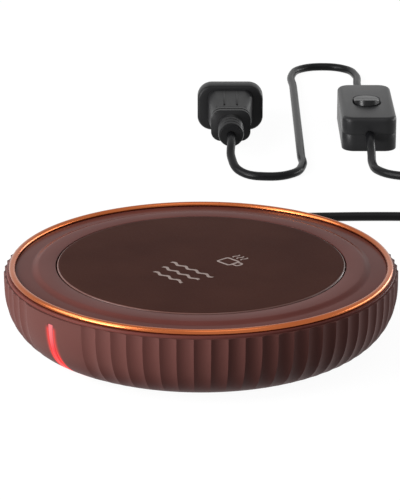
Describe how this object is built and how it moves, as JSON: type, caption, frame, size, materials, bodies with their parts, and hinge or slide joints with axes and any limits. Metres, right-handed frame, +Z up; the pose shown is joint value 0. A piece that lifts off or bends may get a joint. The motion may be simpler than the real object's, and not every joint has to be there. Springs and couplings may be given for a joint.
{
  "type": "mug warmer",
  "caption": "Round fluted electric mug warmer with a flush heating plate, metal trim ring, light bar, and a lead with in-line rocker switch and plug.",
  "frame": {"origin": "on the table, under the centre of the round housing, without the lead", "axes": "+Z up through the heating plate, +Y to the rear, where the lead leaves, +X to the right"},
  "size_m": [0.1946, 0.3927, 0.0262],
  "materials": {
    "housing_plastic": "satin metallic brown",
    "cover_plastic": "satin brown",
    "copper_trim": "polished rose copper",
    "silicone_seal": "matte",
    "plate_coating": "satin dark brown enamel",
    "mica": "pressed mica sheet",
    "resistance_foil": "etched foil",
    "insulation": "ceramic fibre felt",
    "sheet_steel": "zinc plated",
    "screw_steel": "zinc plated",
    "pillar_brass": "turned",
    "foot_rubber": "matte",
    "cap_aluminium": "pressed",
    "bakelite": "moulded",
    "fuse_metal": "plated",
    "terminal_ceramic": "matte",
    "board_laminate": "green solder mask",
    "chip_plastic": "moulded",
    "capacitor_case": "dipped",
    "lit_bar": "emissive red light guide",
    "lamp_resin": "clear resin",
    "black_plastic": "moulded",
    "lead_rubber": "soft PVC sheath, slight sheen",
    "core_insulation": "brown PVC",
    "glass_sleeve": "woven glass sleeve",
    "red_insulation": "red PVC",
    "switch_plastic": "satin black",
    "rocker_plastic": "satin black",
    "contact_brass": "stamped",
    "plug_plastic": "satin black PVC",
    "blade_brass": "nickel plated"
  },
  "bodies": {
    "warmer": {"base_shell": "housing_plastic", "top_cover": "cover_plastic", "trim_ring": "copper_trim", "plate_seal": "silicone_seal", "heating_plate": "plate_coating", "mica_sheet": "mica", "heater_track": "resistance_foil", "insulation_pad": "insulation", "retainer_plate": "sheet_steel", "retainer_screws": "screw_steel", "pillars": "pillar_brass", "housing_screws": "screw_steel", "feet": "foot_rubber", "thermostat_cap": "cap_aluminium", "thermostat_body": "bakelite", "thermostat_strap": "sheet_steel", "strap_screws": "screw_steel", "thermal_fuse": "fuse_metal", "fuse_clip": "sheet_steel", "terminal_block": "terminal_ceramic", "terminal_screws": "screw_steel", "control_board": "board_laminate", "board_screws": "screw_steel", "triac": "chip_plastic", "capacitor": "capacitor_case", "control_chip": "chip_plastic", "light_bar": "lit_bar", "indicator_board": "board_laminate", "indicator_lamps": "lamp_resin", "cord_clamp": "black_plastic", "clamp_screws": "screw_steel", "strain_relief": "lead_rubber", "mains_cores": "core_insulation", "heater_wires": "glass_sleeve", "lamp_wires": "red_insulation", "cord_lead": "lead_rubber", "cord_coil": "lead_rubber", "cord_run": "lead_rubber", "cord_tail": "lead_rubber", "switch_base": "switch_plastic", "switch_cover": "switch_plastic", "switch_contacts": "contact_brass", "switch_screws": "screw_steel", "switch_cores": "core_insulation", "plug_body": "plug_plastic", "plug_blades": "blade_brass"},
    "rocker": {"switch_rocker": "rocker_plastic"},
    "contact_arm": {"contact_blade": "contact_brass"}
  },
  "joints": [
    {"name": "rocker_tilt", "type": "hinge", "parent": "warmer", "child": "rocker", "pos_m": [0.068, 0.23, 0.0106], "axis": [1, 0, 0], "range_deg": [0, 16]},
    {"name": "contact_tilt", "type": "hinge", "parent": "warmer", "child": "contact_arm", "pos_m": [0.068, 0.23, 0.0042], "axis": [1, 0, 0], "range_deg": [-8, 0]}
  ],
  "couplings": [
    {"joint": "contact_tilt", "follows": "rocker_tilt", "ratio": -0.5}
  ]
}
